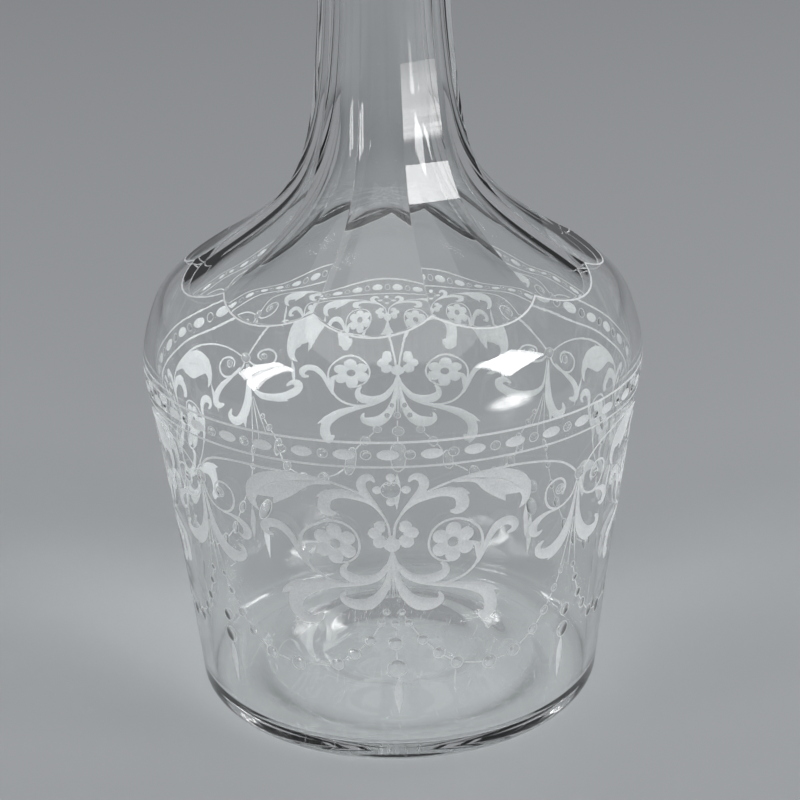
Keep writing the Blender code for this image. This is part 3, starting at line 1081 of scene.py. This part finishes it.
def make_vessel(materials):
    """The vessel as one closed mesh: from the middle of the underside up the outside, over the lip
    and down the inside to the middle of the floor."""
    cuts = Cuts()
    start, end = cuts.crossings(PANEL, BLOWN, ring_height, lip_height)
    turns, end_turns = cuts.azimuths(start, PANEL), cuts.azimuths(end, PANEL)
    underside, heel = underside_outlines()
    line = start - line_heights(start, turns)
    scallops = lathe(BLOWN, rows_between(line, start, line_rows), turns, MATT)
    flats = cuts.surface(edged_rows(start, end, panel_rows, panel_power), PANEL)
    collar_rows = edged_rows(end, lip_height, arc_rows)
    collar = lathe(BLOWN, collar_rows, rows_between(end_turns, cuts.even, len(collar_rows) - 1))
    cuts.close(scallops, flats, flats, collar)
    cuts.round_edge(scallops, flats)
    cuts.round_edge(flats, collar)
    mouth_radius = socket_radius(socket_depth)
    lip = arc((lip_radius - lip_round, mouth_height - lip_round), lip_round, 0, math.pi / 2)
    mouth = arc((mouth_radius + mouth_round, socket_top), mouth_round, math.pi / 2, math.pi)
    socket = [(mouth_radius, socket_top), (socket_radius(0), socket_floor)]
    wall_inside, inner_heel, inner_floor = inner_outline()
    surfaces = [
        turned([*underside, heel[0]], cuts.even, WORN),
        turned(heel, cuts.even),
        lathe(BLOWN, np.linspace(heel_top, sheet_low, heel_rows)[:, None], cuts.even),
        *engraved_wall(wall_edge(cuts.even, sheet_low), wall_edge(turns, sheet_high)),
        lathe(BLOWN, rows_between(sheet_high, line, shoulder_rows), turns),
        scallops,
        flats,
        collar,
        turned([(lip_radius, lip_height), *lip, *mouth], cuts.even),
        turned(between(*socket, even_shares(socket_rows)), cuts.even, GROUND),
        turned([socket[1], wall_inside[0]], cuts.even),
        rippled(turned(wall_inside, cuts.even)),
        turned([wall_inside[-1], *inner_heel], cuts.even),
        turned(inner_floor, cuts.even, WORN),
    ]
    vessel = make_piece("carafe_vessel", surfaces, materials)
    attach(vessel, "vessel")
    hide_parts("vessel")
    return vessel


def make_stopper(materials):
    """The stopper as one closed mesh, from the tip of its ground shank up to the crown."""
    low = socket_top - mouth_height
    tip = low - shank_length
    tip_radius = socket_radius(socket_depth - shank_length) - joint_gap
    shank_top = (socket_radius(socket_depth) - joint_gap, low)
    waist = (waist_radius, waist_height)
    middle = (knop_radius, knop_middle)
    knop = smooth([waist, *between(waist, middle, knop_low_shares), middle])
    crown = between((0, knop_middle), (knop_radius, knop_height), knop_high_shares)
    crown = smooth([middle, *crown, (0, knop_height)])
    body = Outline(np.vstack([knop, crown[1:]]) + (0, mouth_height))
    flat_points = [
        (knop_radius + overrun, waist_height),
        (knop_flat_radius, knop_middle - flat_drop),
        (knop_flat_radius, knop_middle + kink_rise),
        (crown_radius, knop_height - crown_drop),
        (crown_radius, knop_height + overrun),
    ]
    flat_points = np.array(flat_points) + (0, mouth_height)
    kink = flat_points[2, 1]
    envelope, side, slope = Outline(flat_points), Outline(flat_points[1:3]), Outline(flat_points[2:4])
    cuts = Cuts()
    start, end = cuts.crossings(envelope, body, mouth_height + waist_height, mouth_height + knop_height)
    start_turns, end_turns = cuts.azimuths(start, envelope), cuts.azimuths(end, slope)
    knop = lathe(
        body,
        rows_between(mouth_height + waist_height, start, knop_rows),
        rows_between(cuts.even, start_turns, knop_rows),
    )
    flats = cuts.surface(rows_between(start, kink, flat_rows), side)
    crown_flats = cuts.surface(rows_between(kink, end, flat_rows), slope)
    crown = lathe(body, rows_between(end, mouth_height + knop_height, crown_rows, crown_power), end_turns)
    cuts.close(knop, flats, crown_flats, crown)
    end_round = arc((tip_radius - shank_round, tip + shank_round), shank_round, -math.pi / 2, 0)
    shank = between(end_round[-1], shank_top, even_shares(shank_rows))
    outlines = [[(0, tip), end_round[0]], end_round, shank, [shank_top, waist]]
    surfaces = [
        turned(np.array(outline) + (0, mouth_height), cuts.even, finish)
        for outline, finish in zip(outlines, (GROUND, GROUND, GROUND, CLEAR))
    ]
    stopper = make_piece("carafe_stopper", [*surfaces, knop, flats, crown_flats, crown], materials)
    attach(stopper, "stopper")
    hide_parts("stopper")
    return stopper


class Tree:
    """Node tree of a material or lamp, which is filled node by node."""

    def __init__(self, owner):
        owner.use_nodes = True
        self.nodes = owner.node_tree.nodes
        self.links = owner.node_tree.links

    def add(self, kind, inputs, **settings):
        """New node with its settings and with its inputs, by name or place, filled."""
        node = self.nodes.new("ShaderNode" + kind)
        for name, value in settings.items():
            setattr(node, name, value)
        for name, value in inputs.items():
            self.fill(node.inputs[name], value)
        return node

    def fill(self, socket, value):
        """Links the socket to another socket or to a node's first output, or sets its value."""
        if isinstance(value, bpy.types.Node):
            value = value.outputs[0]
        if isinstance(value, bpy.types.NodeSocket):
            self.links.new(value, socket)
        else:
            socket.default_value = value

    def maths(self, operation, first, second, clamp=False):
        """Maths node whose two inputs are sockets, nodes or numbers."""
        return self.add("Math", {0: first, 1: second}, operation=operation, use_clamp=clamp)

    def place(self):
        """Where a point lies on the object."""
        return self.add("TexCoord", {}).outputs["Object"]

    def noise(self, place, scale, detail=0):
        """Noise of this scale and detail, read at the place."""
        return self.add("TexNoise", {"Vector": place, "Scale": scale, "Detail": detail})

    def mix(self, share, first, second):
        """Shader that is the second one by this share."""
        return self.add("MixShader", {0: share, 1: first, 2: second})

    def glass(self, colour, roughness):
        """See-through glass."""
        inputs = {"Base Color": colour, "Roughness": roughness, "Transmission Weight": 1}
        return self.add("BsdfPrincipled", {**inputs, "IOR": glass_refraction})


def new_material(name):
    """Material with an empty node tree."""
    material = bpy.data.materials.new(name)
    tree = Tree(material)
    tree.nodes.clear()
    return material, tree


def specks(tree, place, each_metre, radius_share, share_kept):
    """Mask of small round specks: one in each Voronoi cell, kept where the cell's random value is high."""
    cells = tree.add("TexVoronoi", {"Vector": place, "Scale": each_metre})
    near = tree.maths("LESS_THAN", cells.outputs["Distance"], radius_share)
    chance = tree.add("SeparateColor", {0: cells.outputs["Color"]})
    return tree.maths("MULTIPLY", near, tree.maths("GREATER_THAN", chance, 1 - share_kept))


def scratches(tree, place):
    """Mask of fine scratches: noise drawn out long in a few directions, kept where it is strongest."""
    bend = tree.noise(place, scratch_bends)
    shift = tree.add("VectorMath", {0: bend.outputs["Color"], "Scale": scratch_sway}, operation="SCALE")
    bent = tree.add("VectorMath", {0: place, 1: shift})
    mask = 0.0
    for turn in scratch_turns:
        turned_place = {"Vector": bent, "Rotation": (0, 0, math.radians(turn)), "Scale": scratch_scale}
        drawn = tree.add("Mapping", turned_place)
        strong = tree.maths("SUBTRACT", tree.noise(drawn, 1), scratch_threshold)
        strong = tree.maths("MULTIPLY", strong, scratch_sharpness, True)
        mask = tree.maths("MAXIMUM", strong, mask)
    return mask


def clear_glass(name, worn=False):
    """Polished crystal with a few specks, and fine scratches where it is worn. It lets the lamps'
    light through to what stands behind it."""
    material, tree = new_material(name)
    place = tree.place()
    mark = specks(tree, place, *(worn_specks if worn else clear_specks))
    if worn:
        mark = tree.maths("MAXIMUM", mark, scratches(tree, place))
    white = tree.add("BsdfDiffuse", {"Color": mark_colour})
    marked = tree.mix(tree.maths("MULTIPLY", mark, mark_white), tree.glass(clear_colour, 0), white)
    through = tree.add("BsdfTransparent", {"Color": shadow_colour})
    is_shadow = tree.add("LightPath", {}).outputs["Is Shadow Ray"]
    tree.add("OutputMaterial", {"Surface": tree.mix(is_shadow, marked, through)})
    return material


def matt_glass(name, white, rough):
    """Wheel-ground glass: a grainy white scatter over rough, see-through glass."""
    material, tree = new_material(name)
    place = tree.place()
    grit = tree.maths("MULTIPLY", tree.noise(place, grit_each_metre, detail=3), grit_share)
    cloud = tree.maths("MULTIPLY", tree.noise(place, cloud_each_metre, detail=2), 1 - grit_share)
    ramp = tree.add("ValToRGB", {0: tree.maths("ADD", grit, cloud)})
    for element, (share, colour) in zip(ramp.color_ramp.elements, matt_tones):
        element.position = share
        element.color = colour
    scatter = tree.add("BsdfDiffuse", {"Color": ramp})
    behind = tree.add("BsdfTranslucent", {"Color": ramp})
    scatter = tree.mix(behind_share, scatter, behind)
    tree.add("OutputMaterial", {"Surface": tree.mix(white, tree.glass(matt_colour, rough), scatter)})
    return material


def make_floor():
    """Plain pale floor."""
    material, tree = new_material("pale_floor")
    paint = tree.add("BsdfPrincipled", {"Base Color": floor_colour, "Roughness": floor_roughness})
    tree.add("OutputMaterial", {"Surface": paint})
    corners = [(x * floor_size, y * floor_size, -floor_drop) for x, y in ((-1, -1), (1, -1), (1, 1), (-1, 1))]
    mesh = bpy.data.meshes.new("floor")
    mesh.from_pydata(corners, [], [(0, 1, 2, 3)])
    mesh.materials.append(material)
    floor = add_object("floor", mesh)


def add_window(name, azimuth, elevation, distance, size, glow, panes, lean):
    """Soft rectangular lamp, or a window of upright panes, that faces the middle of the carafe. Its
    azimuth runs from -Y towards +X, and it leans that way by the lean, all in degrees."""
    turn, climb, lean = (math.radians(angle) for angle in (azimuth, elevation, lean))
    along = Vector((math.cos(turn), math.sin(turn), 0))
    out = Vector((math.sin(turn) * math.cos(climb), -math.cos(turn) * math.cos(climb), math.sin(climb)))
    upright = out.cross(along) * math.cos(lean) + along * math.sin(lean)
    level = upright.cross(out)
    middle = Vector((0, 0, aim_height)) + out * distance
    width, height = size
    for pane in range(panes):
        light = bpy.data.lights.new(name, "AREA")
        light.shape = "RECTANGLE"
        light.size = width / panes * (1 if panes == 1 else pane_share)
        light.size_y = height
        light.energy = glow * math.pi * light.size * light.size_y
        lamp = add_object(name, light)
        lamp.location = middle + level * width * ((pane + 0.5) / panes - 0.5)
        lamp.rotation_euler = Matrix((level, upright, out)).transposed().to_euler()
    return lamp


def soften(lamp):
    """Clouds the lamp, which only shows in the glass: its glow falls off smoothly from the middle to
    the edges and is patchy."""
    lamp.visible_diffuse = False
    tree = Tree(lamp.data)
    place = tree.add("NewGeometry", {}).outputs["Parametric"]
    offset = tree.add("VectorMath", {0: place, 1: cloud_middle}, operation="SUBTRACT")
    distance = tree.add("VectorMath", {0: offset}, operation="LENGTH").outputs["Value"]
    reach = {"Value": distance, "From Min": cloud_edge, "From Max": cloud_core}
    fall = tree.add("MapRange", reach, interpolation_type="SMOOTHSTEP")
    glow = tree.maths("MULTIPLY", fall, tree.noise(place, cloud_patches, detail=2))
    tree.fill(tree.nodes["Emission"].inputs["Strength"], tree.maths("MULTIPLY", glow, cloud_gain))


def light_scene():
    """Soft studio light: a pale surround, a window to each side of the camera, a clouded lamp low on
    the right and a wide, faint panel above."""
    world = bpy.data.worlds.new("surround")
    world.use_nodes = True
    back = world.node_tree.nodes["Background"]
    back.inputs["Color"].default_value = surround_colour
    back.inputs["Strength"].default_value = surround_strength
    bpy.context.scene.world = world
    for name, measures in windows.items():
        lamp = add_window(name, *measures)
        if name == clouded_window:
            soften(lamp)


def add_camera():
    """Camera at the photograph's viewing angle."""
    data = bpy.data.cameras.new("camera")
    data.sensor_width = sensor_width
    data.lens = camera_lens
    data.clip_start = nearest_seen
    camera = add_object("camera", data)
    camera.location = camera_place
    tilt = Euler((camera_tilt, 0, 0)).to_matrix() @ Euler((0, 0, camera_roll)).to_matrix()
    camera.rotation_euler = tilt.to_euler()
    bpy.context.scene.camera = camera


def main():
    """Camera, light, floor and the two dressed pieces."""
    bpy.context.scene.view_settings.view_transform = "Standard"
    add_camera()
    light_scene()
    make_floor()
    clear = clear_glass("clear_crystal")
    worn = clear_glass("worn_crystal", True)
    matt, ground, dull = (matt_glass(*finish) for finish in matt_finishes)
    make_vessel([clear, matt, ground, worn, dull])
    make_stopper([clear, matt, ground])


main()
